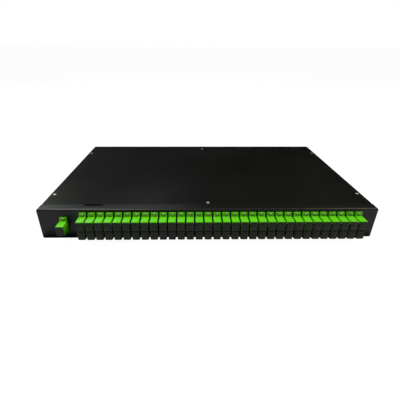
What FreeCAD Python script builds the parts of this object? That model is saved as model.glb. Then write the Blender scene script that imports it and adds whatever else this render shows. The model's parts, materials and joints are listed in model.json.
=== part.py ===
import FreeCAD, Part
import os
import Sketcher
from FreeCAD import Placement, Rotation, Vector

# A rack-mounted fibre splitter box, 1U high: a folded steel tray with a flat screwed cover and a
# front panel that carries one SC input adapter and 32 duplex SC output adapters, each with a pull-out
# dust cap. The splitter module and the fibre spools sit on the tray's floor.
# Millimetres. +X runs to the right along the panel, +Y to the rear, +Z up, and the origin is the
# centre of the underside.

DOCUMENT = FreeCAD.newDocument("fibre_splitter")
SHEET_NAME = "Sizes"

DRIVING_SIZES = {
    # The whole box
    "box_width": 440,
    "box_height": 43.6,
    "box_depth": 260,
    # Folded sheet
    "sheet_thickness": 1.2,
    "sheet_bend_radius": 1.8,
    "panel_thickness": 1.5,
    "panel_bend_radius": 1.8,
    "panel_corner_radius": 2,
    "panel_return": 14.5,
    "tray_flange_width": 12,
    "rear_flange_width": 20,
    "lap_clearance": 0.2,
    "seam_gap": 0.3,
    "corner_relief": 4.5,
    "tongue_length": 12,
    # Cover
    "cover_corner_radius": 1.6,
    "notch_width": 26,
    "notch_depth": 1,
    "notch_from_left": 55,
    "cover_tab_width": 26,
    "cover_tab_lap": 8,
    "cover_tab_overhang": 13,
    "edge_screw_inset": 4.7,
    "front_screw_setback": 44.6,
    "rear_screw_setback": 41.5,
    "centre_front_setback": 19.3,
    "centre_rear_setback": 14.8,
    # M3 hardware
    "m3_radius": 1.5,
    "m3_clearance": 0.1,
    "countersunk_head_radius": 2.75,
    "cover_screw_length": 6,
    "insert_radius": 2.9,
    "insert_spigot_radius": 2.1,
    "insert_height": 1.6,
    "pan_head_radius": 2.8,
    "pan_head_height": 2,
    # Rivets that hold the panel to the tray
    "rivet_radius": 1.6,
    "rivet_head_radius": 2.9,
    "rivet_tail_radius": 2.5,
    "rivet_tail_height": 1.6,
    "rivet_spacing": 20,
    # Holes for rack ears
    "ear_hole_radius": 2.15,
    "ear_hole_setback": 34,
    "ear_hole_spacing_y": 40,
    "ear_hole_spacing_z": 20,
    # Adapters
    "adapter_width": 9.3,
    "adapter_height": 13,
    "adapter_nose": 14.4,
    "adapter_length": 29.2,
    "adapter_bevel": 0.4,
    "port_pitch": 12.7,
    "flange_thickness": 2,
    "ear_height": 6,
    "ear_bevel": 1,
    "port_width": 7.5,
    "port_height": 9.1,
    "partition_thickness": 2,
    "key_slot_width": 2.6,
    "key_slot_length": 7,
    "sleeve_holder_radius": 2.3,
    "sleeve_holder_length": 4.5,
    "sleeve_bore_radius": 1.6,
    "cutout_clearance": 0.15,
    # Where the adapters stand along the panel
    "outputs": 32,
    "outputs_in_bank": 8,
    "input_from_left": 33,
    "first_output_from_left": 58.8,
    "last_output_from_right": 26,
    # M2 screws in the adapters' ears
    "m2_radius": 1,
    "m2_clearance": 0.1,
    "m2_head_radius": 1.9,
    "m2_head_height": 1.3,
    "m2_length": 5,
    # Dust caps
    "cap_head_margin": 0.15,
    "cap_head_thickness": 1.3,
    "cap_corner_radius": 1.3,
    "cap_seat_clearance": 0.1,
    "cap_groove_width": 0.8,
    "cap_groove_depth": 0.7,
    "cap_plug_length": 8,
    "cap_plug_wall": 0.9,
    "cap_fit": 0.1,
    # Splitter module
    "module_width": 141,
    "module_depth": 115,
    "module_height": 18,
    "module_from_rear": 25,
    "module_corner_radius": 4,
    "module_hole_inset": 6,
    "module_lid_groove": 0.6,
    "module_lid_thickness": 3,
    "fibre_exit_width": 62,
    "fibre_exit_height": 7,
    "fibre_exit_depth": 3.5,
    # Fibre spools and saddles
    "spool_hub_radius": 30,
    "spool_rim_radius": 42,
    "spool_height": 20,
    "spool_wall": 2,
    "spool_from_side": 75,
    "spool_from_rear": 82.5,
    "saddle_width": 14,
    "saddle_length": 8,
    "saddle_height": 12,
    "saddle_wall": 1.6,
    "saddle_mouth": 4,
    "saddle_setback": 52,
    "saddle_spacing": 110,
}


class Size:
    """A length together with the spreadsheet expression that gives it."""

    def __init__(self, text, value):
        self.text = text
        self.value = value

    def __add__(self, other):
        other = as_size(other)
        return Size(f"({self.text} + {other.text})", self.value + other.value)

    def __sub__(self, other):
        other = as_size(other)
        return Size(f"({self.text} - {other.text})", self.value - other.value)

    def __mul__(self, other):
        other = as_size(other)
        return Size(f"({self.text} * {other.text})", self.value * other.value)

    def __truediv__(self, other):
        other = as_size(other)
        return Size(f"({self.text} / {other.text})", self.value / other.value)

    def __neg__(self):
        return Size(f"(0 - {self.text})", -self.value)

    def __radd__(self, other):
        return as_size(other) + self

    def __rsub__(self, other):
        return as_size(other) - self

    def __rmul__(self, other):
        return as_size(other) * self


def as_size(number):
    return number if isinstance(number, Size) else Size(str(number), number)


class SizeSheet:
    """The driving sizes as a spreadsheet, read back by name."""

    def __init__(self, values):
        sheet = DOCUMENT.addObject("Spreadsheet::Sheet", SHEET_NAME)
        for row, (alias, value) in enumerate(values.items(), start=1):
            sheet.set(f"A{row}", alias)
            sheet.set(f"B{row}", str(value))
            sheet.setAlias(f"B{row}", alias)
        DOCUMENT.recompute()
        for alias in values:
            setattr(self, alias, Size(f"{SHEET_NAME}.{alias}", float(sheet.get(alias))))


S = SizeSheet(DRIVING_SIZES)

# Levels and edges that several pieces share
LEFT_END = -S.box_width / 2
RIGHT_END = S.box_width / 2
PANEL_FRONT = -S.box_depth / 2
PANEL_BACK = PANEL_FRONT + S.panel_thickness
LIP_BACK = PANEL_FRONT + S.panel_return
REAR = S.box_depth / 2
COVER_FRONT = LIP_BACK + S.seam_gap
COVER_UNDERSIDE = S.box_height - S.sheet_thickness
TRAY_SIDE = S.box_width / 2 - S.panel_thickness - S.lap_clearance
TONGUE_UNDERSIDE = S.panel_thickness + S.lap_clearance
FLOOR_FRONT = COVER_FRONT + TONGUE_UNDERSIDE
FLOOR_TOP = S.sheet_thickness
MID_HEIGHT = S.box_height / 2
CENTRE = as_size(0)

# Adapters: front and rear faces, and places along the panel
FLANGE_FRONT = PANEL_FRONT - S.flange_thickness
ADAPTER_FRONT = FLANGE_FRONT - S.adapter_nose
ADAPTER_REAR = ADAPTER_FRONT + S.adapter_length
DUPLEX_HEIGHT = S.adapter_height + S.port_pitch
INPUT_X = LEFT_END + S.input_from_left
FIRST_OUTPUT_X = LEFT_END + S.first_output_from_left
LAST_OUTPUT_X = RIGHT_END - S.last_output_from_right
OUTPUT_PITCH = (LAST_OUTPUT_X - FIRST_OUTPUT_X) / (S.outputs - 1)
OUTPUTS = round(S.outputs.value)
BANK = round(S.outputs_in_bank.value)
INPUT_SCREW_REACH = (S.adapter_height + S.ear_height) / 2
OUTPUT_SCREW_REACH = (DUPLEX_HEIGHT + S.ear_height) / 2

SUB_PARTS = []


def kept(item, label):
    """Name a sub-part and list it for export."""
    item.Label = label
    SUB_PARTS.append(item)
    return item


def bind(item, name, length):
    item.setExpression(name, as_size(length).text)


# ---------------------------------------------------------------- sketches


def origin_item(body, role):
    return next(item for item in body.Origin.OriginFeatures if item.Role == role)


def sketch_on(body, role, name, offset):
    sketch = body.newObject("Sketcher::SketchObject", name)
    sketch.AttachmentSupport = [(origin_item(body, role), "")]
    sketch.MapMode = "FlatFace"
    sketch.AttachmentOffset = Placement(Vector(0, 0, offset.value), Rotation())
    bind(sketch, ".AttachmentOffset.Base.z", offset)
    return sketch


def sketch_flat(body, name, z=CENTRE):
    """A level sketch: its axes are X and Y, and it faces up."""
    return sketch_on(body, "XY_Plane", name, z)


def sketch_upright(body, name, y=CENTRE):
    """A sketch parallel to the front panel: its axes are X and Z, and it faces the front."""
    return sketch_on(body, "XZ_Plane", name, -y)


def sketch_across(body, name, x=CENTRE):
    """A sketch parallel to the side walls: its axes are Y and Z, and it faces right."""
    return sketch_on(body, "YZ_Plane", name, x)


def place_point(sketch, element, end, across, up):
    """Hold a point at signed distances from the sketch's origin."""
    for kind, distance in (("DistanceX", across), ("DistanceY", up)):
        distance = as_size(distance)
        number = sketch.addConstraint(Sketcher.Constraint(kind, -1, 1, element, end, distance.value))
        bind(sketch, f"Constraints[{number}]", distance)


def polygon(sketch, points):
    """A closed outline of straight lines through the points."""
    corners = [Vector(as_size(u).value, as_size(v).value, 0) for u, v in points]
    following = corners[1:] + corners[:1]
    lines = [Part.LineSegment(start, stop) for start, stop in zip(corners, following)]
    numbers = list(sketch.addGeometry(lines, False))
    for number, after in zip(numbers, numbers[1:] + numbers[:1]):
        sketch.addConstraint(Sketcher.Constraint("Coincident", number, 2, after, 1))
    for number, (u, v) in zip(numbers, points):
        place_point(sketch, number, 1, u, v)


def rectangle(sketch, left, right, low, high):
    polygon(sketch, [(left, low), (right, low), (right, high), (left, high)])


def centred_rectangle(sketch, u, v, width, height):
    rectangle(sketch, u - width / 2, u + width / 2, v - height / 2, v + height / 2)


def circle(sketch, u, v, radius):
    u, v, radius = as_size(u), as_size(v), as_size(radius)
    round_line = Part.Circle(Vector(u.value, v.value, 0), Vector(0, 0, 1), radius.value)
    number = sketch.addGeometry(round_line, False)
    place_point(sketch, number, 3, u, v)
    held = sketch.addConstraint(Sketcher.Constraint("Radius", number, radius.value))
    bind(sketch, f"Constraints[{held}]", radius)


# ---------------------------------------------------------------- features


def new_body(name):
    return DOCUMENT.addObject("PartDesign::Body", name)


def pad(body, sketch, length, backwards=False, midplane=False):
    feature = body.newObject("PartDesign::Pad", f"{sketch.Name}_pad")
    feature.Profile = sketch
    feature.Reversed = backwards
    feature.SideType = "Symmetric" if midplane else "One side"
    feature.Length = as_size(length).value
    bind(feature, "Length", length)
    return feature


def pocket(body, sketch, length, backwards=False, midplane=False):
    """Cut the sketch out, into the side that it faces away from unless told otherwise."""
    feature = body.newObject("PartDesign::Pocket", f"{sketch.Name}_cut")
    feature.Profile = sketch
    feature.Reversed = backwards
    feature.SideType = "Symmetric" if midplane else "One side"
    feature.Length = as_size(length).value
    bind(feature, "Length", length)
    return feature


def revolve(body, sketch):
    """Turn an upright profile once round the vertical axis."""
    feature = body.newObject("PartDesign::Revolution", f"{sketch.Name}_turn")
    feature.Profile = sketch
    feature.ReferenceAxis = (sketch, ["V_Axis"])
    feature.Angle = 360
    return feature


def dress(body, kind, feature, edges, size):
    """Round or bevel some edges of the newest feature."""
    DOCUMENT.recompute()
    done = body.newObject(f"PartDesign::{kind}", f"{feature.Name}_{kind.lower()}")
    done.Base = (feature, edges(feature.Shape))
    name = "Radius" if kind == "Fillet" else "Size"
    setattr(done, name, as_size(size).value)
    bind(done, name, size)
    return done


def straight_edges(wanted):
    """A finder of straight edges whose direction and middle the test accepts."""

    def find(shape):
        names = []
        for number, edge in enumerate(shape.Edges, start=1):
            if isinstance(edge.Curve, Part.Line):
                start, stop = edge.Vertexes[0].Point, edge.Vertexes[-1].Point
                if wanted((stop - start).normalize(), (start + stop) * 0.5):
                    names.append(f"Edge{number}")
        return names

    return find


def round_edges(wanted):
    """A finder of full circles whose centre and radius the test accepts."""

    def find(shape):
        names = []
        for number, edge in enumerate(shape.Edges, start=1):
            if isinstance(edge.Curve, Part.Circle) and wanted(edge.Curve.Center, edge.Curve.Radius):
                names.append(f"Edge{number}")
        return names

    return find


def along_x(direction):
    return abs(direction.x) > 0.999


def along_y(direction):
    return abs(direction.y) > 0.999


def along_z(direction):
    return abs(direction.z) > 0.999


def near(a, b):
    return abs(a - as_size(b).value) < 0.01


def repeat(body, originals, span, count, whole=False):
    """Copies of some features, or of the whole body, evenly spaced along X."""
    DOCUMENT.recompute()
    pattern = body.newObject("PartDesign::LinearPattern", f"{body.Name}_row")
    if whole:
        pattern.TransformMode = "Whole shape"
    else:
        pattern.Originals = originals
    pattern.Direction = (origin_item(body, "X_Axis"), [""])
    pattern.Length = span.value
    pattern.Occurrences = round(count.value)
    bind(pattern, "Length", span)
    bind(pattern, "Occurrences", count)
    body.Tip = pattern
    return pattern


def move_to(item, x=CENTRE, y=CENTRE, z=CENTRE):
    for name, distance in (("x", x), ("y", y), ("z", z)):
        bind(item, f".Placement.Base.{name}", distance)


def copy_of(original, label, x, y, z):
    """One more of a repeated piece, as a sub-part of its own."""
    item = DOCUMENT.addObject("Part::Feature", label)
    item.Shape = original.Shape
    item.Placement = Placement(Vector(x.value, y.value, z.value), Rotation())
    move_to(item, x, y, z)
    return kept(item, label)


def group(label, form, placements):
    """One sub-part of identical loose pieces, each its own solid."""
    DOCUMENT.recompute()
    solids = []
    for placement in placements:
        solid = form.Shape.copy()
        solid.Placement = placement
        solids.append(solid)
    item = DOCUMENT.addObject("Part::Feature", label)
    item.Shape = Part.makeCompound(solids)
    return kept(item, label)


def spot(x, y, z, rotation=None):
    return Placement(Vector(as_size(x).value, as_size(y).value, as_size(z).value), rotation or Rotation())


# ---------------------------------------------------------------- chassis


def cover_screw_places():
    """Where the cover is screwed down: four at the sides and one in the middle of each end."""
    side = TRAY_SIDE - S.edge_screw_inset
    front = PANEL_FRONT + S.front_screw_setback
    rear = REAR - S.rear_screw_setback
    corners = [(-side, front), (side, front), (-side, rear), (side, rear)]
    ends = [(CENTRE, PANEL_FRONT + S.centre_front_setback), (CENTRE, REAR - S.centre_rear_setback)]
    return corners, ends


def rivet_heights():
    return [MID_HEIGHT - S.rivet_spacing / 2, MID_HEIGHT + S.rivet_spacing / 2]


RIVET_Y = (PANEL_BACK + LIP_BACK) / 2


def base_tray():
    """The folded floor, side walls, rear wall and the flanges that the cover lies on."""
    body = new_body("base_tray")
    wall = S.sheet_thickness
    inner = TRAY_SIDE - wall
    lip = TRAY_SIDE - S.tray_flange_width
    top = COVER_UNDERSIDE
    under_top = top - wall

    section = sketch_upright(body, "channel", FLOOR_FRONT)
    right_half = [
        (TRAY_SIDE, CENTRE),
        (TRAY_SIDE, top),
        (lip, top),
        (lip, under_top),
        (inner, under_top),
        (inner, FLOOR_TOP),
    ]
    left_half = [(-across, up) for across, up in reversed(right_half)]
    polygon(section, right_half + left_half)
    channel = pad(body, section, REAR - FLOOR_FRONT, backwards=True)

    def outer_bend(direction, middle):
        side = near(abs(middle.x), TRAY_SIDE)
        return along_y(direction) and side

    def inner_bend(direction, middle):
        return along_y(direction) and near(abs(middle.x), inner)

    bends = dress(body, "Fillet", channel, straight_edges(outer_bend), S.sheet_bend_radius)
    dress(body, "Fillet", bends, straight_edges(inner_bend), S.sheet_bend_radius - wall)

    back = sketch_upright(body, "rear_wall", REAR)
    rectangle(back, -inner, inner, wall / 2, top - wall / 2)
    pad(body, back, wall)
    ledge = sketch_flat(body, "rear_flange", top)
    rectangle(ledge, -lip + S.seam_gap, lip - S.seam_gap, REAR - S.rear_flange_width, REAR)
    pad(body, ledge, wall, backwards=True)

    for side, name in ((-1, "left"), (1, "right")):
        cheek = sketch_across(body, f"{name}_cheek", side * (TRAY_SIDE - wall / 2))
        low = TONGUE_UNDERSIDE + S.corner_relief
        high = S.box_height - TONGUE_UNDERSIDE - S.corner_relief
        rectangle(cheek, PANEL_BACK + S.corner_relief / 2, FLOOR_FRONT + wall, low, high)
        pad(body, cheek, wall, midplane=True)

    tongue = sketch_across(body, "tongue")
    reach = LIP_BACK - S.tongue_length
    step = TONGUE_UNDERSIDE
    polygon(
        tongue,
        [
            (reach, step),
            (COVER_FRONT, step),
            (FLOOR_FRONT, CENTRE),
            (FLOOR_FRONT + wall, CENTRE),
            (FLOOR_FRONT + wall, wall),
            (FLOOR_FRONT + wall / 2, wall),
            (COVER_FRONT + wall / 2, step + wall),
            (reach, step + wall),
        ],
    )
    pad(body, tongue, 2 * (TRAY_SIDE - S.corner_relief), midplane=True)

    corners, ends = cover_screw_places()
    flange_holes = sketch_flat(body, "insert_holes", top)
    for x, y in corners + ends[1:]:
        circle(flange_holes, x, y, S.insert_spigot_radius + S.m3_clearance / 2)
    pocket(body, flange_holes, wall * 2)

    floor_holes = sketch_flat(body, "floor_holes", FLOOR_TOP)
    for x, y in module_screw_places() + spool_screw_places():
        circle(floor_holes, x, y, S.m3_radius + S.m3_clearance)
    pocket(body, floor_holes, wall * 2)

    side_holes = sketch_across(body, "side_holes")
    for y in (S.ear_hole_setback, S.ear_hole_setback + S.ear_hole_spacing_y):
        for z in (-S.ear_hole_spacing_z / 2, S.ear_hole_spacing_z / 2):
            circle(side_holes, PANEL_FRONT + y, MID_HEIGHT + z, S.ear_hole_radius)
    for z in rivet_heights():
        circle(side_holes, RIVET_Y, z, S.rivet_radius + S.m3_clearance)
    pocket(body, side_holes, S.box_width, midplane=True)
    return kept(body, "base_tray")


def adapter_opening(sketch, x, height, screw_reach):
    """A window for one adapter's rear half with a tapped hole above and below it."""
    clearance = 2 * S.cutout_clearance
    centred_rectangle(sketch, x, MID_HEIGHT, S.adapter_width + clearance, height + clearance)
    for z in (MID_HEIGHT - screw_reach, MID_HEIGHT + screw_reach):
        circle(sketch, x, z, S.m2_radius + S.m2_clearance)


def front_panel():
    """A shallow pan with folded lips all round, cut for the adapters, and a tab under the cover."""
    body = new_body("front_panel")
    face = sketch_upright(body, "face", PANEL_FRONT)
    rectangle(face, LEFT_END, RIGHT_END, CENTRE, S.box_height)
    pan = pad(body, face, S.panel_return, backwards=True)
    upright_corners = straight_edges(lambda direction, middle: along_y(direction))
    dress(body, "Fillet", pan, upright_corners, S.panel_corner_radius)

    hollow = sketch_upright(body, "hollow", LIP_BACK)
    skin = S.panel_thickness
    rectangle(hollow, LEFT_END + skin, RIGHT_END - skin, skin, S.box_height - skin)
    inside = pocket(body, hollow, S.panel_return - skin, backwards=True)

    def inner_corner(direction, middle):
        return along_y(direction) and near(abs(middle.x), S.box_width / 2 - skin)

    rounded = dress(body, "Fillet", inside, straight_edges(inner_corner), S.panel_corner_radius - skin)

    def face_edge(direction, middle):
        return near(middle.y, PANEL_FRONT) and (along_x(direction) or along_z(direction))

    bends = dress(body, "Fillet", rounded, straight_edges(face_edge), S.panel_bend_radius)

    def inner_edge(direction, middle):
        return near(middle.y, PANEL_BACK) and (along_x(direction) or along_z(direction))

    dress(body, "Fillet", bends, straight_edges(inner_edge), S.panel_bend_radius - skin)

    input_window = sketch_upright(body, "input_window", PANEL_FRONT)
    adapter_opening(input_window, INPUT_X, S.adapter_height, INPUT_SCREW_REACH)
    pocket(body, input_window, 2 * skin)
    output_window = sketch_upright(body, "output_window", PANEL_FRONT)
    adapter_opening(output_window, FIRST_OUTPUT_X, DUPLEX_HEIGHT, OUTPUT_SCREW_REACH)
    cut = pocket(body, output_window, 2 * skin)
    repeat(body, [cut], LAST_OUTPUT_X - FIRST_OUTPUT_X, S.outputs)

    rivet_holes = sketch_across(body, "rivet_holes")
    for z in rivet_heights():
        circle(rivet_holes, RIVET_Y, z, S.rivet_radius + S.m3_clearance)
    drilled = pocket(body, rivet_holes, 2 * S.box_width, midplane=True)

    def outer_rim(centre, radius):
        return near(abs(centre.x), S.box_width / 2)

    sink = S.rivet_head_radius - S.rivet_radius
    dress(body, "Chamfer", drilled, round_edges(outer_rim), sink)

    tab = sketch_flat(body, "cover_tab", S.box_height - skin)
    half = S.cover_tab_width / 2
    rectangle(tab, -half, half, LIP_BACK - S.cover_tab_lap, LIP_BACK + S.cover_tab_overhang)
    pad(body, tab, S.sheet_thickness, backwards=True)
    tab_hole = sketch_flat(body, "cover_tab_hole", S.box_height - skin)
    _, ends = cover_screw_places()
    circle(tab_hole, *ends[0], S.insert_spigot_radius + S.m3_clearance / 2)
    body.Tip = pocket(body, tab_hole, 2 * S.sheet_thickness)
    return kept(body, "front_panel")


def top_cover():
    """The flat cover, with countersunk holes and a pry notch in its front edge."""
    body = new_body("top_cover")
    sheet = sketch_flat(body, "sheet", COVER_UNDERSIDE)
    rectangle(sheet, -TRAY_SIDE, TRAY_SIDE, COVER_FRONT, REAR)
    plate = pad(body, sheet, S.sheet_thickness)
    corners = straight_edges(lambda direction, middle: along_z(direction))
    dress(body, "Fillet", plate, corners, S.cover_corner_radius)
    notch = sketch_flat(body, "notch", S.box_height)
    left = LEFT_END + S.notch_from_left
    depth = S.notch_depth
    rectangle(notch, left, left + S.notch_width, COVER_FRONT - depth, COVER_FRONT + depth)
    pocket(body, notch, S.sheet_thickness * 2)

    centres = sketch_flat(body, "screw_holes", S.box_height)
    corners, ends = cover_screw_places()
    for x, y in corners + ends:
        circle(centres, x, y, S.m3_radius + S.m3_clearance)
    DOCUMENT.recompute()
    holes = body.newObject("PartDesign::Hole", "countersinks")
    holes.Profile = centres
    DOCUMENT.recompute()
    holes.ThreadType = "None"
    holes.DepthType = "ThroughAll"
    holes.HoleCutType = "Countersink"
    holes.HoleCutCustomValues = True
    holes.HoleCutCountersinkAngle = 90
    bind(holes, "Diameter", 2 * (S.m3_radius + S.m3_clearance))
    bind(holes, "HoleCutDiameter", 2 * (S.countersunk_head_radius + S.m3_clearance))
    return kept(body, "top_cover")


def cover_screw_form():
    """A countersunk M3 screw standing upright with the top of its head at the origin."""
    body = new_body("cover_screw_form")
    profile = sketch_upright(body, "cover_screw_profile")
    cone = S.countersunk_head_radius - S.m3_radius
    tip = -S.cover_screw_length
    polygon(
        profile,
        [
            (CENTRE, CENTRE),
            (CENTRE, tip),
            (S.m3_radius, tip),
            (S.m3_radius, -cone),
            (S.countersunk_head_radius, CENTRE),
        ],
    )
    revolve(body, profile)
    return body


def insert_form():
    """A clinch nut: its spigot stands in the sheet, and its body hangs below the origin."""
    body = new_body("insert_form")
    profile = sketch_upright(body, "insert_profile")
    bore = S.m3_radius + S.m3_clearance
    polygon(
        profile,
        [
            (bore, -S.insert_height),
            (S.insert_radius, -S.insert_height),
            (S.insert_radius, CENTRE),
            (S.insert_spigot_radius, CENTRE),
            (S.insert_spigot_radius, S.sheet_thickness - S.m3_clearance),
            (bore, S.sheet_thickness - S.m3_clearance),
        ],
    )
    revolve(body, profile)
    return body


def rivet_form():
    """A blind rivet lying along X: its flush head's face is at the origin and it reaches to -X."""
    body = new_body("rivet_form")
    profile = sketch_upright(body, "rivet_profile")
    grip = S.panel_thickness + S.lap_clearance + S.sheet_thickness
    end = grip + S.rivet_tail_height
    polygon(
        profile,
        [
            (CENTRE, CENTRE),
            (CENTRE, end),
            (S.rivet_tail_radius, end),
            (S.rivet_tail_radius, grip),
            (S.rivet_radius, grip),
            (S.rivet_radius, S.rivet_head_radius - S.rivet_radius),
            (S.rivet_head_radius, CENTRE),
        ],
    )
    revolve(body, profile)
    return body


def pan_screw_form(name, radius, length, head_radius, head_height):
    """A pan-head screw standing upright: its head rests on the origin's level."""
    body = new_body(name)
    profile = sketch_upright(body, f"{name}_profile")
    crown = head_radius * 0.7
    polygon(
        profile,
        [
            (CENTRE, head_height),
            (CENTRE, -length),
            (radius, -length),
            (radius, CENTRE),
            (head_radius, CENTRE),
            (head_radius, head_height / 2),
            (crown, head_height),
        ],
    )
    revolve(body, profile)
    return body


def chassis_hardware():
    """Cover screws, the clinch nuts they run into and the rivets that hold the panel."""
    corners, ends = cover_screw_places()
    top = S.box_height
    group("cover_screws", cover_screw_form(), [spot(x, y, top) for x, y in corners + ends])

    under_flange = COVER_UNDERSIDE - S.sheet_thickness
    under_tab = S.box_height - S.panel_thickness - S.sheet_thickness
    nuts = [spot(x, y, under_flange) for x, y in corners + ends[1:]]
    nuts.append(spot(*ends[0], under_tab))
    group("cover_inserts", insert_form(), nuts)

    rivets = []
    for side, turn in ((-1, 90), (1, -90)):
        rotation = Rotation(Vector(0, 1, 0), turn)
        rivets += [spot(side * RIGHT_END, RIVET_Y, z, rotation) for z in rivet_heights()]
    group("panel_rivets", rivet_form(), rivets)


# ---------------------------------------------------------------- adapters


def adapter_body(name, x, height, port_centres, screw_reach):
    """An SC adapter moulding: a long housing with a screwed flange and an open port in each end."""
    body = new_body(name)
    ports = [MID_HEIGHT + centre for centre in port_centres]

    housing = sketch_upright(body, "housing", ADAPTER_FRONT)
    centred_rectangle(housing, x, MID_HEIGHT, S.adapter_width, height)
    block = pad(body, housing, S.adapter_length, backwards=True)

    def end_edge(direction, middle):
        return near(middle.y, ADAPTER_FRONT) and not along_y(direction)

    dress(body, "Chamfer", block, straight_edges(end_edge), S.adapter_bevel)

    flange = sketch_upright(body, "flange", FLANGE_FRONT)
    centred_rectangle(flange, x, MID_HEIGHT, S.adapter_width, height + 2 * S.ear_height)
    plate = pad(body, flange, S.flange_thickness, backwards=True)

    def ear_corner(direction, middle):
        tip = height / 2 + S.ear_height
        return along_y(direction) and near(abs(middle.z - MID_HEIGHT.value), tip)

    dress(body, "Chamfer", plate, straight_edges(ear_corner), S.ear_bevel)

    port_depth = (S.adapter_length - S.partition_thickness) / 2
    for end, face, inwards in (("front", ADAPTER_FRONT, False), ("rear", ADAPTER_REAR, True)):
        mouth = sketch_upright(body, f"{end}_ports", face)
        for z in ports:
            centred_rectangle(mouth, x, z, S.port_width, S.port_height)
        pocket(body, mouth, port_depth, backwards=inwards)

    keys = sketch_upright(body, "key_slots", ADAPTER_FRONT)
    for z in ports:
        centred_rectangle(keys, x - S.adapter_width / 2, z, S.adapter_width / 2, S.key_slot_width)
    pocket(body, keys, S.key_slot_length)

    holders = sketch_upright(body, "sleeve_holders", ADAPTER_FRONT + port_depth)
    for z in ports:
        circle(holders, x, z, S.sleeve_holder_radius)
    pad(body, holders, S.sleeve_holder_length)
    bores = sketch_upright(body, "sleeve_bores", ADAPTER_FRONT)
    for z in ports:
        circle(bores, x, z, S.sleeve_bore_radius)
    pocket(body, bores, S.adapter_length)

    ear_holes = sketch_upright(body, "ear_holes", FLANGE_FRONT)
    for z in (MID_HEIGHT - screw_reach, MID_HEIGHT + screw_reach):
        circle(ear_holes, x, z, S.m2_radius + S.m2_clearance)
    body.Tip = pocket(body, ear_holes, 2 * S.flange_thickness)
    return body


def adapters():
    """The input adapter and the banks of duplex output adapters."""
    single = adapter_body("input_adapter", INPUT_X, S.adapter_height, [CENTRE], INPUT_SCREW_REACH)
    kept(single, "input_adapter")
    for bank in range(OUTPUTS // BANK):
        first = FIRST_OUTPUT_X + bank * BANK * OUTPUT_PITCH
        pair = [-S.port_pitch / 2, S.port_pitch / 2]
        label = f"adapter_bank_{bank + 1}"
        body = adapter_body(label, first, DUPLEX_HEIGHT, pair, OUTPUT_SCREW_REACH)
        repeat(body, [], (S.outputs_in_bank - 1) * OUTPUT_PITCH, S.outputs_in_bank, whole=True)
        kept(body, label)


def output_xs():
    return [FIRST_OUTPUT_X + number * OUTPUT_PITCH for number in range(OUTPUTS)]


def adapter_screws():
    """M2 screws through every adapter's two ears into the panel, their shanks pointing back."""
    form = pan_screw_form(
        "adapter_screw_form", S.m2_radius, S.m2_length, S.m2_head_radius, S.m2_head_height
    )
    facing = Rotation(Vector(1, 0, 0), 90)
    places = [(INPUT_X, INPUT_SCREW_REACH)]
    places += [(x, OUTPUT_SCREW_REACH) for x in output_xs()]
    spots = []
    for x, reach in places:
        spots += [spot(x, FLANGE_FRONT, MID_HEIGHT + up, facing) for up in (-reach, reach)]
    group("adapter_screws", form, spots)


def cap_body(name, x, height, port_centres):
    """A dust cap: a flat head with rounded corners and one hollow plug for each port."""
    body = new_body(name)
    face = ADAPTER_FRONT - S.cap_seat_clearance
    margin = 2 * S.cap_head_margin

    head = sketch_upright(body, "head", face)
    centred_rectangle(head, CENTRE, MID_HEIGHT, S.adapter_width - margin, height - margin)
    plate = pad(body, head, S.cap_head_thickness)
    corners = straight_edges(lambda direction, middle: along_y(direction))
    dress(body, "Fillet", plate, corners, S.cap_corner_radius)

    plugs = sketch_upright(body, "plugs", face)
    hollows = sketch_upright(body, "hollows", face)
    width, tall = S.port_width - 2 * S.cap_fit, S.port_height - 2 * S.cap_fit
    for centre in port_centres:
        z = MID_HEIGHT + centre
        centred_rectangle(plugs, CENTRE, z, width, tall)
        centred_rectangle(hollows, CENTRE, z, width - 2 * S.cap_plug_wall, tall - 2 * S.cap_plug_wall)
    pad(body, plugs, S.cap_plug_length, backwards=True)
    body.Tip = pocket(body, hollows, S.cap_plug_length)

    if len(port_centres) > 1:
        groove = sketch_upright(body, "groove", face - S.cap_head_thickness)
        centred_rectangle(groove, CENTRE, MID_HEIGHT, S.adapter_width, S.cap_groove_width)
        body.Tip = pocket(body, groove, S.cap_groove_depth)
    move_to(body, x)
    return kept(body, name)


def dust_caps():
    """One single cap for the input and a one-piece double cap for each output adapter."""
    cap_body("input_cap", INPUT_X, S.adapter_height, [CENTRE])
    pair = [-S.port_pitch / 2, S.port_pitch / 2]
    xs = output_xs()
    first = cap_body("output_cap_01", xs[0], DUPLEX_HEIGHT, pair)
    DOCUMENT.recompute()
    for number, x in enumerate(xs[1:], start=2):
        copy_of(first, f"output_cap_{number:02d}", x, CENTRE, CENTRE)


# ---------------------------------------------------------------- inside the box

MODULE_Y = REAR - S.module_from_rear - S.module_depth / 2
SPOOL_X = S.box_width / 2 - S.spool_from_side
SPOOL_Y = REAR - S.spool_from_rear
SCREW_TIP = FLOOR_TOP - S.m3_clearance


def module_screw_places():
    across = S.module_width / 2 - S.module_hole_inset
    along = S.module_depth / 2 - S.module_hole_inset
    return [(side * across, MODULE_Y + end * along) for side in (-1, 1) for end in (-1, 1)]


def spool_screw_places():
    return [(-SPOOL_X, SPOOL_Y), (SPOOL_X, SPOOL_Y)]


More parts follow.
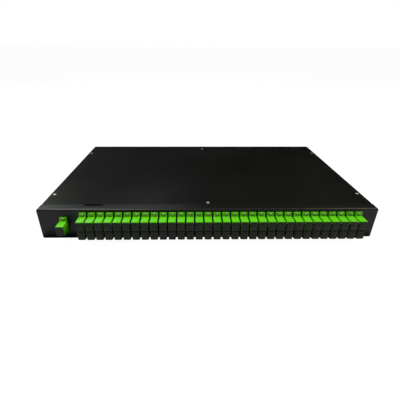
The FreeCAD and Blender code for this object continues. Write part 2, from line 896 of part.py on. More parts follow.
def splitter_module():
    """The sealed splitter box with its lid line and the recess where the fibres leave it."""
    body = new_body("splitter_module")
    plan = sketch_flat(body, "plan", FLOOR_TOP)
    centred_rectangle(plan, CENTRE, MODULE_Y, S.module_width, S.module_depth)
    block = pad(body, plan, S.module_height)
    corners = straight_edges(lambda direction, middle: along_z(direction))
    dress(body, "Fillet", block, corners, S.module_corner_radius)

    lid_line = sketch_flat(body, "lid_line", FLOOR_TOP + S.module_height - S.module_lid_thickness)
    groove = S.module_lid_groove
    centred_rectangle(lid_line, CENTRE, MODULE_Y, S.module_width + groove, S.module_depth + groove)
    centred_rectangle(lid_line, CENTRE, MODULE_Y, S.module_width - 2 * groove, S.module_depth - 2 * groove)
    pocket(body, lid_line, groove)

    exit_slot = sketch_upright(body, "fibre_exit", MODULE_Y - S.module_depth / 2)
    middle = FLOOR_TOP + S.module_height / 2
    centred_rectangle(exit_slot, CENTRE, middle, S.fibre_exit_width, S.fibre_exit_height)
    pocket(body, exit_slot, S.fibre_exit_depth)

    holes = sketch_flat(body, "mounting_holes", FLOOR_TOP + S.module_height)
    for x, y in module_screw_places():
        circle(holes, x, y, S.m3_radius + S.m3_clearance)
    body.Tip = pocket(body, holes, S.module_height)
    return kept(body, "splitter_module")


def spool_body(name, x):
    """A round fibre spool: a hub with a wide lower rim and a narrower upper one."""
    body = new_body(name)
    profile = sketch_upright(body, f"{name}_profile")
    wall, hub, top = S.spool_wall, S.spool_hub_radius, S.spool_height
    upper_rim = (hub + S.spool_rim_radius) / 2
    bore = S.m3_radius + S.m3_clearance
    polygon(
        profile,
        [
            (bore, CENTRE),
            (S.spool_rim_radius, CENTRE),
            (S.spool_rim_radius, wall),
            (hub, wall),
            (hub, top - wall),
            (upper_rim, top - wall),
            (upper_rim, top),
            (hub - wall, top),
            (hub - wall, wall),
            (bore, wall),
        ],
    )
    revolve(body, profile)
    move_to(body, x, SPOOL_Y, FLOOR_TOP)
    return kept(body, name)


def fibre_saddles():
    """Open clips along the floor that lead the fibres to the adapters."""
    body = new_body("fibre_saddles")
    row = 3 * S.saddle_spacing
    first = -row / 2
    outline = sketch_upright(body, "saddle", PANEL_FRONT + S.saddle_setback)
    half, wall, mouth = S.saddle_width / 2, S.saddle_wall, S.saddle_mouth / 2
    low, high = FLOOR_TOP, FLOOR_TOP + S.saddle_height
    polygon(
        outline,
        [
            (first - half, low),
            (first + half, low),
            (first + half, high),
            (first + mouth, high),
            (first + mouth, high - wall),
            (first + half - wall, high - wall),
            (first + half - wall, low + wall),
            (first - half + wall, low + wall),
            (first - half + wall, high - wall),
            (first - mouth, high - wall),
            (first - mouth, high),
            (first - half, high),
        ],
    )
    pad(body, outline, S.saddle_length)
    repeat(body, [], row, as_size(4), whole=True)
    return kept(body, "fibre_saddles")


def inside_hardware():
    """The screws that hold the module and the spools to the floor."""
    head = (S.pan_head_radius, S.pan_head_height)
    long_form = pan_screw_form("module_screw_form", S.m3_radius, S.module_height + SCREW_TIP, *head)
    top = FLOOR_TOP + S.module_height
    group("module_screws", long_form, [spot(x, y, top) for x, y in module_screw_places()])
    short_form = pan_screw_form("spool_screw_form", S.m3_radius, S.spool_wall + SCREW_TIP, *head)
    seat = FLOOR_TOP + S.spool_wall
    group("spool_screws", short_form, [spot(x, y, seat) for x, y in spool_screw_places()])


def build():
    base_tray()
    front_panel()
    top_cover()
    chassis_hardware()
    adapters()
    adapter_screws()
    dust_caps()
    splitter_module()
    spool_body("fibre_spool_left", -SPOOL_X)
    spool_body("fibre_spool_right", SPOOL_X)
    fibre_saddles()
    inside_hardware()
    DOCUMENT.recompute()


def check():
    for item in DOCUMENT.Objects:
        if "Invalid" in item.State or "Error" in item.State:
            raise RuntimeError(f"{item.Label} failed: {item.State}")
    for item in SUB_PARTS:
        if item.Shape.isNull() or not item.Shape.isValid():
            raise RuntimeError(f"{item.Label} has no sound shape")


def export():
    os.makedirs("parts", exist_ok=True)
    for item in SUB_PARTS:
        item.Shape.exportStep(f"parts/{item.Label}.step")
        print(item.Label, len(item.Shape.Solids), round(item.Shape.Volume, 1))


build()
check()
export()
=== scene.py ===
import json
import math

import bmesh
import bpy
from mathutils import Euler, Matrix, Vector


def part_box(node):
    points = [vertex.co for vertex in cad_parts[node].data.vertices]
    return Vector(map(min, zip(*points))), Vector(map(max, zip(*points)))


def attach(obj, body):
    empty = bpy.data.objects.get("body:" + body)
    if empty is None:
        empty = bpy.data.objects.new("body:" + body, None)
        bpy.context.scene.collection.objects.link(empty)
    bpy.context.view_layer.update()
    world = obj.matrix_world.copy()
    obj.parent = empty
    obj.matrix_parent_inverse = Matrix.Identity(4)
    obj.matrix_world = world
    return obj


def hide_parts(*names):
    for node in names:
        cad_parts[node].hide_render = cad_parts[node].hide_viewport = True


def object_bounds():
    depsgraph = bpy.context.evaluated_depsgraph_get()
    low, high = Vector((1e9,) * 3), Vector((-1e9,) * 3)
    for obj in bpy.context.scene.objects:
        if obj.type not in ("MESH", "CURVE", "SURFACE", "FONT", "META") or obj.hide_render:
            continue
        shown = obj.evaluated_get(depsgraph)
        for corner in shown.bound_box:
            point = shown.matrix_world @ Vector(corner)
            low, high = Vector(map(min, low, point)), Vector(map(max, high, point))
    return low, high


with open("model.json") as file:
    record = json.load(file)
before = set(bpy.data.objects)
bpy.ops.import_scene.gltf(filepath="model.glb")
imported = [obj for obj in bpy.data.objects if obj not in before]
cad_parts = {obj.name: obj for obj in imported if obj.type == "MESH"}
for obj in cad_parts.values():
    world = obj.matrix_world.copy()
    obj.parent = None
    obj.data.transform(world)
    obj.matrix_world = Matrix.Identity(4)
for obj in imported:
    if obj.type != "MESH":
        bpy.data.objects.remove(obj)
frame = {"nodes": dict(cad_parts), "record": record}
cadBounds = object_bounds()

mm = 0.001  # sizes are in metres, written as millimetres times this
hair = 0.001 * mm  # two places closer than this are the same place
past = 1 * mm  # how far a cutter reaches past the face that it opens
quarterTurn = math.radians(90)
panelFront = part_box("front_panel")[0].y
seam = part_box("top_cover")[0].y  # where the cover meets the panel's top flange


# small helpers, each one step as by hand
def deselectAll():
    if bpy.context.object and bpy.context.object.mode != "OBJECT":
        leaveEdit()
    bpy.ops.object.select_all(action="DESELECT")


def leaveEdit():
    bpy.ops.object.mode_set(mode="OBJECT")


def makeActive(piece):
    deselectAll()
    piece.select_set(True)
    bpy.context.view_layer.objects.active = piece


def named(name):
    piece = bpy.context.object
    piece.name = name
    piece.data.name = name
    return piece


def settle(piece):  # put the place, turn and size into the mesh
    makeActive(piece)
    bpy.ops.object.transform_apply(location=True, rotation=True, scale=True)
    return piece


def addBlock(name, low, high):
    deselectAll()
    low, high = Vector(low), Vector(high)
    bpy.ops.mesh.primitive_cube_add(size=1, location=(low + high) / 2, scale=high - low)
    return settle(named(name))


def addDrum(name, place, radius, depth, turn=(0, 0, 0), sides=24):
    deselectAll()
    bpy.ops.mesh.primitive_cylinder_add(
        vertices=sides, radius=radius, depth=depth, location=place, rotation=turn)
    return settle(named(name))


def pick(piece, mode, test):  # edit mode, with only the edges or points that pass the test
    makeActive(piece)
    bpy.ops.object.mode_set(mode="EDIT")
    bpy.ops.mesh.select_mode(type=mode)
    bpy.ops.mesh.select_all(action="DESELECT")
    mesh = bmesh.from_edit_mesh(piece.data)
    for part in {"EDGE": mesh.edges, "VERT": mesh.verts}[mode]:
        if test(part):
            part.select_set(True)
    mesh.select_flush_mode()
    bmesh.update_edit_mesh(piece.data)


def bevelWhere(piece, width, steps, test):
    pick(piece, "EDGE", test)
    bpy.ops.mesh.bevel(offset=width, segments=steps, affect="EDGES", clamp_overlap=True)
    leaveEdit()


def middle(edge):
    return (edge.verts[0].co + edge.verts[1].co) / 2


def runsAlong(edge, axis):
    way = (edge.verts[1].co - edge.verts[0].co).normalized()
    return abs(way["xyz".index(axis)]) > 0.999  # the cosine of the angle between them


def liesAt(edge, depth):  # both ends of the edge are at this y
    return all(abs(point.co.y - depth) < hair for point in edge.verts)


def applyModifier(piece, kind, **settings):
    makeActive(piece)
    modifier = piece.modifiers.new(kind.lower(), kind)
    for key, value in settings.items():
        setattr(modifier, key, value)
    bpy.ops.object.modifier_apply(modifier=modifier.name)
    return piece


def cutAway(piece, cutter):
    applyModifier(piece, "BOOLEAN", operation="DIFFERENCE", object=cutter, solver="EXACT")
    bpy.data.objects.remove(cutter)
    return piece


def smoothFaces(piece, degrees):
    makeActive(piece)
    bpy.ops.object.shade_smooth_by_angle(angle=math.radians(degrees))
    return piece


def softenEdges(piece, width, angle=35):
    applyModifier(piece, "BEVEL", width=width, segments=2, limit_method="ANGLE",
                  angle_limit=math.radians(angle))
    return smoothFaces(piece, degrees=32)


def copyAt(piece, name, offset=(0, 0, 0)):
    twin = piece.copy()
    twin.data = piece.data.copy()
    twin.name = name
    bpy.context.collection.objects.link(twin)
    twin.location = offset
    return settle(twin)


def joined(pieces, name):
    deselectAll()
    for piece in pieces:
        piece.select_set(True)
    bpy.context.view_layer.objects.active = pieces[0]
    if len(pieces) > 1:
        bpy.ops.object.join()
    return named(name)


def centre(box):
    return (box[0] + box[1]) / 2


class Value:  # a shader socket that takes part in sums
    def __init__(self, tree, socket):
        self.tree = tree
        self.socket = socket

    def reckon(self, operation, *terms):
        return addNode(self.tree, "ShaderNodeMath", {"operation": operation}, terms)

    def __add__(self, other):
        return self.reckon("ADD", self, other)

    def __sub__(self, other):
        return self.reckon("SUBTRACT", self, other)

    def __rsub__(self, other):
        return self.reckon("SUBTRACT", other, self)

    def __mul__(self, other):
        return self.reckon("MULTIPLY", self, other)

    __radd__ = __add__
    __rmul__ = __mul__


def addNode(tree, kind, settings, inputs, output=0):  # every node comes from here
    node = tree.nodes.new(kind)
    for key, value in settings.items():
        setattr(node, key, value)
    entries = inputs.items() if isinstance(inputs, dict) else enumerate(inputs)
    for key, value in entries:
        if isinstance(value, Value):
            tree.links.new(value.socket, node.inputs[key])
        else:
            node.inputs[key].default_value = value
    return Value(tree, node.outputs[output])


def opaque(colour):
    return colour if isinstance(colour, Value) else (*colour, 1)


class Finish:  # one material: its nodes, and the shader that they feed
    def __init__(self, name, sockets):
        self.material = bpy.data.materials.new(name)
        self.material.use_nodes = True
        self.tree = self.material.node_tree
        self.shader = self.tree.nodes["Principled BSDF"]
        for key, value in sockets.items():
            self.shader.inputs[key].default_value = value
        self.places = self.node("ShaderNodeTexCoord", {}, {}, "Object")

    def node(self, kind, settings, inputs, output=0):
        return addNode(self.tree, kind, settings, inputs, output)

    def noise(self, scale, detail=2.0, roughness=0.5):
        wanted = {"Vector": self.places, "Scale": scale, "Detail": detail, "Roughness": roughness}
        return self.node("ShaderNodeTexNoise", {}, wanted)

    def clip(self, value, low, high):  # 0 at low and 1 at high
        wanted = {"Value": value, "From Min": low, "From Max": high}
        return self.node("ShaderNodeMapRange", {"clamp": True}, wanted)

    def mix(self, share, first, second):  # sockets 6 and 7 take the colours, output 2 gives one
        wanted = {0: share, 6: opaque(first), 7: opaque(second)}
        return self.node("ShaderNodeMix", {"data_type": "RGBA"}, wanted, 2)

    def bump(self, height, strength, distance, under=None):
        wanted = {"Height": height, "Strength": strength, "Distance": distance}
        if under:
            wanted["Normal"] = under
        return self.node("ShaderNodeBump", {}, wanted)

    def axis(self, name):  # one of the Object coordinates
        return self.node("ShaderNodeSeparateXYZ", {}, [self.places], name)

    def openness(self, reach):  # 1 on a free face, 0 deep in a gap
        return self.node("ShaderNodeAmbientOcclusion", {"samples": 8}, {"Distance": reach}, "AO")

    def feed(self, socket, value):
        self.tree.links.new(value.socket, self.shader.inputs[socket])


noiseSpread = (0.3, 0.7)  # nearly all of a noise's values lie between these

powderCoat = {
    "colour": (0.0022, 0.0024, 0.0023), "dustColour": (0.0034, 0.0037, 0.0036), "dust": (0.35, 0.75),
    "grain": 1400.0, "cloud": 9.0, "roughness": (0.31, 0.38), "specular": 0.2,
    "bump": 0.22, "bumpHeight": 0.06 * mm,
    # how far the top flange drops towards the front, and where its bend begins and ends
    "slope": 1.2 * mm, "roll": (4.9 * mm, 1.6 * mm), "rollDrop": 0.32 * mm,
    # the pry slot, painted dark as shade: its two ends, its gap to the seam, its length to the front, its
    # soft edge
    "slot": (-163 * mm, -137 * mm), "slotBack": 0.4 * mm, "slotLong": 4.3 * mm,
    "slotSoft": 0.35 * mm, "slotShadeColour": (0, 0, 0), "slotGloss": 0.2,
}


def makeSlotShadeMask(coat):  # 1 in the slot where a blade lifts the cover, which is painted dark as shade
    left, right = powderCoat["slot"]
    rear, soft = seam - powderCoat["slotBack"], powderCoat["slotSoft"]
    front = rear - powderCoat["slotLong"]
    x, y = coat.axis("X"), coat.axis("Y")
    across = coat.clip(x, left, left + soft) * coat.clip(x, right, right - soft)
    return across * coat.clip(y, front, front + soft) * coat.clip(y, rear, rear - soft)


def makeFlangeLean(coat):  # the top flange leans forward a little, and then rolls over the bend
    y = coat.axis("Y")
    start, end = powderCoat["roll"]
    flange = coat.clip(y, seam, panelFront)
    roll = coat.clip(y, panelFront + start, panelFront + end)
    fall = powderCoat["slope"] * flange + powderCoat["rollDrop"] * roll * roll
    return coat.bump(mm - fall, strength=1.0, distance=1.0)  # a height in metres, at full size


def makePowderCoat():
    coat = Finish("satinBlackPowderCoat", {"Specular IOR Level": powderCoat["specular"]})
    grain = coat.noise(powderCoat["grain"], detail=3.0, roughness=0.6)
    cloud = coat.noise(powderCoat["cloud"], detail=4.0, roughness=0.55)
    # painted shade: inside the slot the coat turns black and glossier
    slot = makeSlotShadeMask(coat)
    dust = coat.clip(cloud, *powderCoat["dust"])
    paint = coat.mix(dust, powderCoat["colour"], powderCoat["dustColour"])
    coat.feed("Base Color", coat.mix(slot, paint, powderCoat["slotShadeColour"]))
    smooth, rough = powderCoat["roughness"]
    gloss = smooth + coat.clip(cloud, *noiseSpread) * (rough - smooth)
    coat.feed("Roughness", gloss - powderCoat["slotGloss"] * slot)
    lean = makeFlangeLean(coat)
    coat.feed("Normal", coat.bump(grain, powderCoat["bump"], powderCoat["bumpHeight"], lean))
    return coat.material


adapterGreen = {
    "deep": (0.066, 0.38, 0.003), "light": (0.078, 0.41, 0.0035), "cloud": 55.0,
    "shade": (0.006, 0.05, 0.0005), "gap": 4 * mm, "open": (0.2, 0.55), "mould": 420.0,
    "roughness": (0.28, 0.42), "specular": 0.18, "bump": 0.12, "bumpHeight": 0.05 * mm,
}

capBlack = {
    "deep": (0.009, 0.0097, 0.009), "light": (0.014, 0.015, 0.0138), "cloud": 70.0,
    "shade": (0.002, 0.002, 0.002), "gap": 2.5 * mm, "open": (0.6, 0.95), "mould": 2600.0,
    "roughness": (0.38, 0.54), "specular": 0.17, "bump": 0.15, "bumpHeight": 0.03 * mm,
}


def makeSatinPlastic(name, look):  # a little cloudy, with painted shade deep in its gaps
    plastic = Finish(name, {"Specular IOR Level": look["specular"]})
    cloud = plastic.noise(look["cloud"], detail=3.0)
    body = plastic.mix(plastic.clip(cloud, *noiseSpread), look["deep"], look["light"])
    # painted shade: the colour falls to the shade tone where the occlusion reading is low
    free = plastic.clip(plastic.openness(look["gap"]), *look["open"])
    plastic.feed("Base Color", plastic.mix(free, look["shade"], body))
    skin = plastic.noise(look["mould"])
    smooth, rough = look["roughness"]
    plastic.feed("Roughness", smooth + (rough - smooth) * skin)
    plastic.feed("Normal", plastic.bump(skin, look["bump"], look["bumpHeight"]))
    return plastic.material


spoolWhite = {
    "deep": (0.66, 0.65, 0.61), "light": (0.74, 0.73, 0.69), "roughness": 0.42,
    "mould": 900.0, "mouldDetail": 2.0, "mouldRough": 0.5, "bump": 0.1, "bumpHeight": 0.04 * mm,
}

moduleGrey = {
    "deep": (0.22, 0.225, 0.23), "light": (0.28, 0.285, 0.29), "roughness": 0.5,
    "mould": 1600.0, "mouldDetail": 3.0, "mouldRough": 0.6, "bump": 0.3, "bumpHeight": 0.05 * mm,
}


def makeInnerPlastic(name, look):
    plastic = Finish(name, {"Roughness": look["roughness"]})
    skin = plastic.noise(look["mould"], look["mouldDetail"], look["mouldRough"])
    tone = plastic.mix(plastic.clip(skin, *noiseSpread), look["deep"], look["light"])
    plastic.feed("Base Color", tone)
    plastic.feed("Normal", plastic.bump(skin, look["bump"], look["bumpHeight"]))
    return plastic.material


zincPlate = {
    "grain": 900.0, "wear": 0.1,  # how far the roughness strays to either side
    # the dull and the bright tone, and the roughness
    "coverScrew": ((0.60, 0.57, 0.53), (0.78, 0.75, 0.71), 0.5),
    "clinchNut": ((0.45, 0.43, 0.40), (0.58, 0.56, 0.52), 0.4),
    # the ear screws' tones are darker than plain zinc plate: painted shade
    "earScrew": ((0.26, 0.24, 0.19), (0.42, 0.38, 0.31), 0.42),
}


def makeZinc(name, kind):
    dull, bright, roughness = zincPlate[kind]
    zinc = Finish(name, {"Metallic": 1.0})
    cloud = zinc.noise(zincPlate["grain"], detail=3.0)
    zinc.feed("Base Color", zinc.mix(zinc.clip(cloud, *noiseSpread), dull, bright))
    wear = zincPlate["wear"]
    zinc.feed("Roughness", roughness - wear + 2 * wear * cloud)
    return zinc.material


finishes = {
    "powder_coat": makePowderCoat(),
    "screw_steel": makeZinc("brightZincPlate", "coverScrew"),
    "insert_steel": makeZinc("dullZincPlate", "clinchNut"),
    "adapter_green": makeSatinPlastic("limeGreenPlastic", adapterGreen),
    "cap_black": makeSatinPlastic("satinBlackPlastic", capBlack),
    "module_grey": makeInnerPlastic("greyHousingPlastic", moduleGrey),
    "spool_white": makeInnerPlastic("naturalWhitePlastic", spoolWhite),
}
finishes["rivet_paint"] = finishes["powder_coat"]
# the ear screws take a darker copy of the zinc plate: painted shade
shadedEarScrewZinc = makeZinc("shadeDarkenedZincPlate", "earScrew")
print("materials ready")


def dressFrame():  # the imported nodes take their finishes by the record's slots
    for part in frame["record"]["subparts"]:
        node = frame["nodes"][part["node"]]
        node.data.materials.clear()
        node.data.materials.append(finishes[part["material_slot"]])
    print("packed pieces dressed")


dressFrame()


def looseBoxes(node):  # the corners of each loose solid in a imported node, smallest x first
    spare = frame["nodes"][node].copy()
    spare.data = spare.data.copy()
    bpy.context.collection.objects.link(spare)
    makeActive(spare)
    bpy.ops.object.mode_set(mode="EDIT")
    bpy.ops.mesh.select_all(action="SELECT")
    bpy.ops.mesh.remove_doubles(threshold=2 * hair)
    bpy.ops.mesh.separate(type="LOOSE")
    leaveEdit()
    boxes = []
    for part in list(bpy.context.selected_objects):
        points = [vertex.co for vertex in part.data.vertices]
        low = Vector(min(point[axis] for point in points) for axis in range(3))
        high = Vector(max(point[axis] for point in points) for axis in range(3))
        boxes.append((low, high))
        bpy.data.objects.remove(part)
    return sorted(boxes, key=lambda box: (round(box[0].x, 5), box[0].z))


def finishPiece(piece, slot, body, *nodes):
    piece.data.materials.clear()
    piece.data.materials.append(finishes[slot])
    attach(piece, body)
    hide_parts(*nodes)
    return piece


inputLow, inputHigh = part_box("input_adapter")
adapter = {
    "wide": inputHigh.x - inputLow.x, "front": inputLow.y + 0.6 * mm, "rear": inputHigh.y,
    "level": (inputLow.z + inputHigh.z) / 2, "tall": 13 * mm, "edge": 0.5 * mm,
    "portWide": 7.5 * mm, "portTall": 9.1 * mm, "portPitch": 12.7 * mm, "portDeep": 13 * mm,
    "leadIn": 0.35 * mm, "keyWide": 2.6 * mm, "keyLong": 7 * mm,
    "keyReach": (1.2, 0.5),  # the key slot's outer and inner ends, as shares of half the width
    "flange": 2 * mm, "flangePlay": 0.03 * mm, "flangeRound": 0.25 * mm,
    "ear": 5.1 * mm, "earRound": 1.0 * mm, "earSlope": 1.6 * mm,
    "sleeveRadius": 2.3 * mm, "sleeveBore": 1.6 * mm, "sleeveLong": 4.5 * mm, "sleeveRoot": 0.2 * mm,
    "armWide": 2.2 * mm, "armThick": 1.0 * mm, "armLong": 4.2 * mm, "armGap": 0.9 * mm,
    "armRound": 0.15 * mm, "banks": 4,
}


def portLevels(ports):
    level, half = adapter["level"], adapter["portPitch"] / 2
    return [level] if ports == 1 else [level - half, level + half]


def halfTall(ports):
    return (adapter["tall"] + adapter["portPitch"] * (ports - 1)) / 2


def cutPort(housing, level, mouth, inwards):  # a tapered lead-in, then the straight port
    wide, tall = adapter["portWide"] / 2, adapter["portTall"] / 2
    ends = sorted((mouth - inwards * past, mouth + inwards * adapter["portDeep"]))
    cutAway(housing, addBlock("port", (-wide, ends[0], level - tall), (wide, ends[1], level + tall)))

    def onRim(edge):
        spot = middle(edge)
        inside = abs(spot.x) < wide + hair and abs(spot.z - level) < tall + hair
        return liesAt(edge, mouth) and inside

    bevelWhere(housing, adapter["leadIn"], steps=1, test=onRim)


def makeHousing(ports):
    wide, tall, level = adapter["wide"] / 2, halfTall(ports), adapter["level"]
    front, rear = adapter["front"], adapter["rear"]
    housing = addBlock("housing", (-wide, front, level - tall), (wide, rear, level + tall))
    key = adapter["keyWide"] / 2
    outer, inner = (-wide * share for share in adapter["keyReach"])
    for portLevel in portLevels(ports):
        cutPort(housing, portLevel, front, 1)
        cutPort(housing, portLevel, rear, -1)
        cutAway(housing, addBlock("key", (outer, front - past, portLevel - key),
                                  (inner, front + adapter["keyLong"], portLevel + key)))
    return softenEdges(housing, adapter["edge"])


def makeFlange(ports):  # the plate with an ear above and below
    wide, reach = adapter["wide"] / 2 - adapter["flangePlay"], halfTall(ports) + adapter["ear"]
    front, level = panelFront - adapter["flange"], adapter["level"]
    flange = addBlock("flange", (-wide, front, level - reach), (wide, panelFront, level + reach))
    bevelWhere(flange, adapter["earRound"], steps=3, test=lambda edge: runsAlong(edge, "y"))
    bevelWhere(flange, adapter["earSlope"], steps=5,
               test=lambda edge: runsAlong(edge, "x") and liesAt(edge, front))
    return softenEdges(flange, adapter["flangeRound"])


def makeSleeve(level):  # the tube deep in the port that holds the alignment sleeve
    root, long = adapter["front"] + adapter["portDeep"], adapter["sleeveLong"]
    place, turn = (0, root - long / 2 + adapter["sleeveRoot"], level), (quarterTurn, 0, 0)
    tube = addDrum("sleeve", place, adapter["sleeveRadius"], long, turn, sides=20)
    return cutAway(tube, addDrum("bore", place, adapter["sleeveBore"], long * 3, turn, sides=16))


def makeLatchArm(level, side):  # one arm stands above the sleeve and one below
    root, wide, half = adapter["front"] + adapter["portDeep"], adapter["armWide"] / 2, adapter["armThick"] / 2
    at = level + side * (adapter["sleeveRadius"] + adapter["armGap"])
    arm = addBlock("arm", (-wide, root - adapter["armLong"], at - half), (wide, root, at + half))
    return softenEdges(arm, adapter["armRound"])


def makeAdapter(ports):
    parts = [makeHousing(ports), makeFlange(ports)]
    for level in portLevels(ports):
        parts.append(makeSleeve(level))
        parts.extend(makeLatchArm(level, side) for side in (-1, 1))
    return joined(parts, "adapterPattern")


def addAdapters():
    single = makeAdapter(1)
    piece = copyAt(single, "inputAdapterShell", (centre((inputLow, inputHigh)).x, 0, 0))
    finishPiece(piece, "adapter_green", "chassis", "input_adapter")
    bpy.data.objects.remove(single)
    double = makeAdapter(2)
    for number in range(1, adapter["banks"] + 1):
        node = f"adapter_bank_{number}"
        row = [copyAt(double, "duplex", (centre(box).x, 0, 0)) for box in looseBoxes(node)]
        finishPiece(joined(row, f"duplexAdapters{number}"), "adapter_green", "chassis", node)
    bpy.data.objects.remove(double)
    print("adapters ready")


addAdapters()

cap = {
    "back": 0.6 * mm, "trim": 0.6 * mm, "foot": 0.1 * mm,  # set back, and cut off above and below
    "cornerRound": 1.3 * mm, "rim": 0.2 * mm, "edge": 0.12 * mm, "groove": 1.3 * mm, "grooveDeep": 0.9 * mm,
    "plugLong": 8 * mm, "plugPlay": 0.1 * mm, "plugRoot": 0.05 * mm, "plugEdge": 0.25 * mm,
    "wall": 0.9 * mm, "floor": 0.3 * mm, "doubles": 32,
}


def makeCapHead(low, high, grooved):
    wide, level = (high.x - low.x) / 2, (low.z + high.z) / 2
    foot, top = low.z + cap["foot"], high.z - cap["trim"]
    front, rear = low.y + cap["back"], high.y - cap["plugLong"] + cap["back"]
    head = addBlock("head", (-wide, front, foot), (wide, rear, top))
    bevelWhere(head, cap["cornerRound"], steps=5, test=lambda edge: runsAlong(edge, "y"))
    bevelWhere(head, cap["rim"], steps=3, test=lambda edge: liesAt(edge, front))
    if grooved:
        half = cap["groove"] / 2
        cutAway(head, addBlock("groove", (-2 * wide, front - past, level - half),
                               (2 * wide, front + cap["grooveDeep"], level + half)))
    return softenEdges(head, cap["edge"], angle=50)


def makeCapPlug(root, tip, level):  # hollow and open at its tip, from the head into the port
    wide = adapter["portWide"] / 2 - cap["plugPlay"]
    tall = adapter["portTall"] / 2 - cap["plugPlay"]
    plug = addBlock("plug", (-wide, root - cap["plugRoot"], level - tall), (wide, tip, level + tall))
    wide, tall = wide - cap["wall"], tall - cap["wall"]
    cutAway(plug, addBlock("hollow", (-wide, root + cap["floor"], level - tall),
                           (wide, tip + past, level + tall)))
    return softenEdges(plug, cap["plugEdge"])


def makeCap(node, ports):
    low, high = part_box(node)
    root = high.y - cap["plugLong"] + cap["back"]
    plugs = [makeCapPlug(root, high.y, level) for level in portLevels(ports)]
    return joined([makeCapHead(low, high, ports == 2), *plugs], "capPattern")


def addCap(pattern, node, name):
    piece = copyAt(pattern, name, (centre(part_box(node)).x, 0, 0))
    finishPiece(piece, "cap_black", f"{node}_body", node)


def addCaps():
    single = makeCap("input_cap", 1)
    addCap(single, "input_cap", "inputCapShell")
    bpy.data.objects.remove(single)
    double = makeCap("output_cap_01", 2)
    for number in range(1, cap["doubles"] + 1):
        addCap(double, f"output_cap_{number:02d}", f"outputCapShell{number:02d}")
    bpy.data.objects.remove(double)
    print("dust caps ready")


addCaps()

crossRecess = {
    "wide": 0.17, "arm": 0.62,  # shares of the head's radius
    "taper": 0.55,  # the recess's size at its bottom, as a share of its size at the top
    "turn": 2.399963,  # radians from one screw's recess to the next, as a screwdriver leaves them
}
earScrew = {
    "radius": 1.5 * mm, "height": 1.2 * mm, "shank": 1.0 * mm, "length": 5 * mm,
    "dome": 0.62, "recess": 0.75,  # shares of the head's height
}
coverScrew = {
    "radius": 2.05 * mm, "shank": 1.3 * mm, "length": 6 * mm, "recess": 1.0 * mm, "sunk": 0.5 * mm,
}


def cutCross(screw, radius, top, deep):
    thin, arm = radius * crossRecess["wide"], radius * crossRecess["arm"]
    taper = crossRecess["taper"]
    for wide, long in ((thin, arm), (arm, thin)):
        slot = addBlock("slot", (-wide, -long, top - deep), (wide, long, top + deep))
        pick(slot, "VERT", lambda point: point.co.z < top)
        bpy.ops.transform.resize(value=(taper, taper, 1), center_override=(0, 0, top - deep))
        leaveEdit()
        cutAway(screw, slot)


# both patterns stand upright, with the head's seat or its flat top at the origin
def makePanScrew():
    radius, height, length = earScrew["radius"], earScrew["height"], earScrew["length"]
    head = addDrum("head", (0, 0, height / 2), radius, height)
    bevelWhere(head, height * earScrew["dome"], steps=4,
               test=lambda edge: min(point.co.z for point in edge.verts) > height - hair)
    cutCross(head, radius, height, height * earScrew["recess"])
    smoothFaces(head, degrees=40)
    stem = addDrum("stem", (0, 0, -length / 2), earScrew["shank"], length, sides=12)
    return joined([head, smoothFaces(stem, degrees=40)], "panScrewPattern")


def makeSunkScrew():
    radius, shank, length = coverScrew["radius"], coverScrew["shank"], coverScrew["length"]
    cone = radius - shank
    deselectAll()
    bpy.ops.mesh.primitive_cone_add(
        vertices=28, radius1=shank, radius2=radius, depth=cone, location=(0, 0, -cone / 2))
    head = settle(named("sunkHead"))
    cutCross(head, radius, 0, coverScrew["recess"])
    smoothFaces(head, degrees=30)
    stem = addDrum("stem", (0, 0, -(cone + length) / 2), shank, length - cone, sides=14)
    return joined([head, stem], "sunkScrewPattern")


def addScrewRow(pattern, node, name, turn, axis, seat):
    row = []
    for number, box in enumerate(looseBoxes(node)):
        screw = copyAt(pattern, f"{name}{number}")
        screw.rotation_euler = Euler((turn, 0, 0))
        settle(screw)
        screw.rotation_euler = Matrix.Rotation(number * crossRecess["turn"], 3, axis).to_euler()
        screw.location = seat(box)
        row.append(settle(screw))
    bpy.data.objects.remove(pattern)
    return finishPiece(joined(row, name), "screw_steel", "chassis", node)


def addScrews():
    flangeFront = panelFront - adapter["flange"]
    small = addScrewRow(makePanScrew(), "adapter_screws", "earScrews", quarterTurn, "Y",
                        lambda box: (centre(box).x, flangeFront, centre(box).z))
    small.data.materials[0] = shadedEarScrewZinc
    addScrewRow(makeSunkScrew(), "cover_screws", "coverScrewHeads", 0, "Z",
                lambda box: (centre(box).x, centre(box).y, box[1].z - coverScrew["sunk"]))
    print("screws ready")


addScrews()

view = {
    "place": (-23.64 * mm, -454.85 * mm, 230.77 * mm), "near": 10 * mm,
    "lens": 26.43, "sensor": 36, "shift": (0.01397, -0.01125),
    "tip": -27.21, "roll": -0.247, "turn": -0.796,  # degrees
}


def turned(degrees, axis):
    return Matrix.Rotation(math.radians(degrees), 3, axis)


def addCamera():
    bpy.ops.object.camera_add(location=view["place"])
    camera = bpy.context.object
    camera.name = "studioCamera"
    camera.data.lens = view["lens"]
    camera.data.sensor_width = view["sensor"]
    camera.data.shift_x, camera.data.shift_y = view["shift"]
    camera.data.clip_start = view["near"]
    level = turned(90, "X")
    swing, lean, tilt = turned(view["turn"], "Z"), turned(view["roll"], "Y"), turned(view["tip"], "X")
    camera.rotation_euler = (swing @ lean @ tilt @ level).to_euler()
    bpy.context.scene.camera = camera


pureWhite, pureBlack = (1, 1, 1), (0, 0, 0)

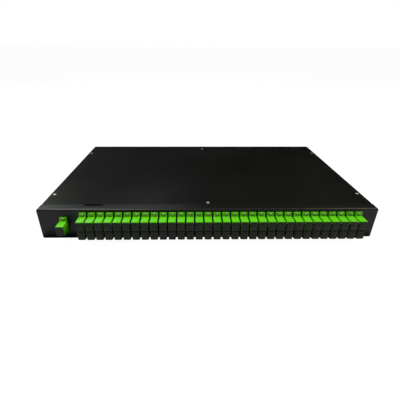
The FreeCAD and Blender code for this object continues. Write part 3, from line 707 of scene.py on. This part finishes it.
studio = {
    "room": 0.01, "backdrop": 1.0, "floorWide": 60, "floorDrop": 0.2 * mm, "floorCloud": 3.0,
    "floorTone": (0.06, 0.07), "floorRoughness": 0.9, "floorGlow": 0.97, "shadeSoft": 5 * mm,
    # name, place, target, size across and along, watts, tint
    "boxes": (
        ("rightBox", (1.0, 0.05, 1.1), (0, 0, 0), (0.5, 1.0), 17.8, (1.0, 0.85, 0.68)),
        ("backBox", (-0.6, 0.9, 1.25), (0, 0, 0), (1.2, 0.4), 3.6, (0.91, 1.0, 0.99)),
        ("frontLeftBox", (-0.45, -0.45, 1.25), (-0.1, -0.1, 0), (0.55, 0.3), 13.1, (1.0, 0.98, 0.91)),
        ("lowRightBox", (1.3, -1.6, 0.2), (0, 0, 0), (0.8, 0.3), 3.4, (1.0, 1.0, 0.86)),
        ("topBox", (0.0, 0.0, 1.3), (0, 0, 0), (0.8, 0.8), 4.0, (0.85, 1.0, 0.87)),
        ("rearLeftBox", (-1.2, 0.9, 0.9), (0, 0, 0), (0.6, 0.6), 4.2, (0.91, 1.0, 0.9)),
        ("nearLeftBox", (-0.45, 0.1, 0.7), (-0.2, -0.1, 0), (0.3, 0.3), 2.0, (0.94, 1.0, 0.85)),
    ),
}


def addSoftBox(name, place, target, size, power, tint):
    deselectAll()
    bpy.ops.object.light_add(type="AREA", location=place)
    light = bpy.context.object
    light.name = name
    light.data.shape = "RECTANGLE"
    light.data.size, light.data.size_y = size
    light.data.energy = power
    light.data.color = tint
    light.rotation_euler = (Vector(target) - Vector(place)).to_track_quat("-Z", "Y").to_euler()


def addRoom():  # white where it is seen directly, and dim in every reflection
    world = bpy.data.worlds.new("paleRoom")
    bpy.context.scene.world = world
    world.use_nodes = True
    tree = world.node_tree
    tree.nodes.remove(tree.nodes["Background"])
    seen = addNode(tree, "ShaderNodeLightPath", {}, {}, "Is Camera Ray")
    dim, bright = (addNode(tree, "ShaderNodeBackground", {}, [opaque(pureWhite), studio[strength]])
                   for strength in ("room", "backdrop"))
    either = addNode(tree, "ShaderNodeMixShader", {}, [seen, dim, bright])
    tree.links.new(either.socket, tree.nodes["World Output"].inputs["Surface"])


def nearBox(paper):  # 1 on the floor under the box, 0 a few millimetres outside it: the reach of a painted contact shadow
    low, high = cadBounds
    soft = studio["shadeSoft"]
    x, y = paper.axis("X"), paper.axis("Y")
    across = paper.clip(x, low[0] - soft, low[0]) * paper.clip(x, high[0] + soft, high[0])
    return across * paper.clip(y, low[1] - soft, low[1] + soft) * paper.clip(y, high[1] + soft, high[1])


def addFloor():  # pale paper lit from below; it throws no light up at the box
    deselectAll()
    bpy.ops.mesh.primitive_plane_add(size=studio["floorWide"], location=(0, 0, -studio["floorDrop"]))
    floor = settle(named("paleFloor"))
    paper = Finish("palePaper", {"Roughness": studio["floorRoughness"],
                                 "Emission Strength": studio["floorGlow"]})
    tone = paper.noise(studio["floorCloud"])
    paper.feed("Base Color", paper.mix(tone, *((grey,) * 3 for grey in studio["floorTone"])))
    # a painted contact shadow: close to the box the glow shows only to the eye, so that the panel doesn't
    # mirror it
    seen = paper.node("ShaderNodeLightPath", {}, {}, "Is Camera Ray")
    paper.feed("Emission Color", paper.mix((1 - seen) * nearBox(paper), pureWhite, pureBlack))
    floor.data.materials.append(paper.material)
    floor.visible_diffuse = False


def addStudio():
    bpy.context.scene.view_settings.view_transform = "Standard"
    addRoom()
    for box in studio["boxes"]:
        addSoftBox(*box)
    addFloor()


addCamera()
addStudio()
print("camera, light and floor ready")
